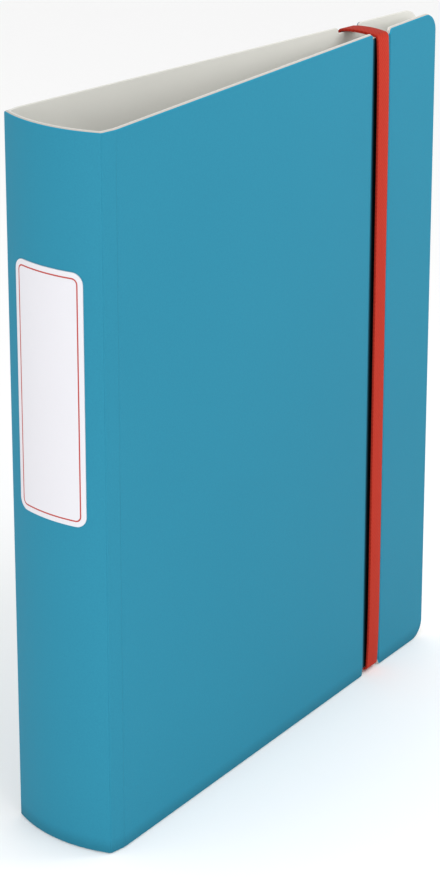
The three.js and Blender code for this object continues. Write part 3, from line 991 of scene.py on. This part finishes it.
def half_rings():
    """Four rings a pitch apart, each a curved and a straight half on blades of their own."""
    for row in range(4):
        level = (row - 1.5) * RING_PITCH
        for kind, (points, body) in HALVES.items():
            half_ring(f"{kind}_wire_{row + 1}", f"{kind}_half_ring_{row + 1}", points, level, body)


WELD_DISTANCE = 0.002 * MM
FLAT_ANGLE = math.radians(1)
BEVEL_ANGLE = math.radians(30)
FINE_EDGE = 0.15 * MM
RIVET_EDGE = 0.2 * MM
SOFT_EDGE = 0.3 * MM


def refined(name, node, body, material, edge):
    """The frame's own shape with its edges rounded off and its curved faces smooth."""
    build = bmesh.new()
    build.from_mesh(frame["nodes"][node].data)
    bmesh.ops.remove_doubles(build, verts=build.verts, dist=WELD_DISTANCE)
    bmesh.ops.dissolve_limit(build, angle_limit=FLAT_ANGLE, verts=build.verts, edges=build.edges)
    shared = [line for line in build.edges if len(line.link_faces) == 2]
    bmesh.ops.bevel(
        build,
        geom=[line for line in shared if line.calc_face_angle(0) > BEVEL_ANGLE],
        offset=edge,
        segments=2,
        profile=0.5,
        affect="EDGES",
        clamp_overlap=True,
    )
    stand_in(new_piece(name, finish_mesh(build, name), [material]), body, node)


def metalwork():
    cover = "back_cover"
    refined("housing_shell", "ring_housing", cover, drawn_nickel, FINE_EDGE)
    for side in ("spine_side", "fore_side"):
        blade = f"{side}_blade"
        refined(f"{side}_strip", blade, blade, steel, FINE_EDGE)
    for end in ("top", "bottom"):
        lever = f"{end}_opening_lever"
        refined(f"{end}_thumb_lever", lever, f"{end}_lever", nickel, SOFT_EDGE)
        refined(f"{end}_pivot_pin", f"{end}_lever_pin", cover, steel, FINE_EDGE)
        refined(f"{end}_tail_clip", f"{end}_band_clip", cover, nickel, SOFT_EDGE)
    for level in ("bottom", "middle", "top"):
        rivet = f"{level}_mounting_rivet"
        post = f"{level}_mounting_post"
        refined(f"{level}_rivet", rivet, cover, nickel, RIVET_EDGE)
        refined(f"{level}_sleeve", post, cover, steel, FINE_EDGE)


# ---------------------------------------------------------------- studio

# the floor reaches so far that its edges never show
FLOOR_REACH = 60

CAMERA_LENS = 109.81
CAMERA_SHIFT = -0.27
CAMERA_PLACE = (0.7055, -0.8737, 0.6011)
CAMERA_TILT = math.radians(17.15)
CAMERA_TURN = math.radians(39.56)


def floor():
    """A level sheet under the binder, not attached to any of its bodies."""
    build = bmesh.new()
    bmesh.ops.create_grid(build, x_segments=8, y_segments=8, size=FLOOR_REACH)
    mesh = bpy.data.meshes.new("floor")
    build.to_mesh(mesh)
    build.free()
    piece = new_piece("floor", mesh, [floor_material()])


def area_light(name, place, target, size, power):
    """A round white light at a place, facing a target."""
    data = bpy.data.lights.new(name, "AREA")
    data.shape = "DISK"
    data.size = size
    data.energy = power
    light = bpy.data.objects.new(name, data)
    light.location = place
    light.rotation_euler = (Vector(target) - Vector(place)).to_track_quat("-Z", "Y").to_euler()
    light.visible_camera = False
    bpy.context.scene.collection.objects.link(light)


def lights():
    world = bpy.data.worlds.new("studio")
    world.use_nodes = True
    background = world.node_tree.nodes["Background"]
    background.inputs["Color"].default_value = (1.0, 1.0, 1.0, 1.0)
    background.inputs["Strength"].default_value = 0.96
    bpy.context.scene.world = world
    area_light("high_right", (0.8, 0.1, 1.0), (0.0, 0.0, 0.2), 0.5, 1.5)
    area_light("near_right", (0.32, 0.24, 0.46), (0.01, 0.08, 0.28), 0.2, 0.6)
    area_light("low_front", (0.9, -0.5, 0.12), (0.0, -0.05, 0.1), 0.4, 2.7)
    area_light("spine_side", (0.2, -1.15, 0.38), (0.0, -0.13, 0.16), 0.5, 4.2)


def camera():
    """Tilted down from level by the tilt, and turned from facing +Y by the turn."""
    data = bpy.data.cameras.new("camera")
    data.lens = CAMERA_LENS
    data.sensor_width = 36
    data.shift_y = CAMERA_SHIFT
    view = bpy.data.objects.new("camera", data)
    view.location = CAMERA_PLACE
    view.rotation_euler = (math.pi / 2 - CAMERA_TILT, 0, CAMERA_TURN)
    bpy.context.scene.collection.objects.link(view)
    bpy.context.scene.camera = view


# ---------------------------------------------------------------- the whole scene

camera()
lights()
floor()
covers_and_spine()
fold_strips()
spine_label()
elastic_band()
half_rings()
metalwork()
bpy.context.scene.view_settings.view_transform = "Standard"
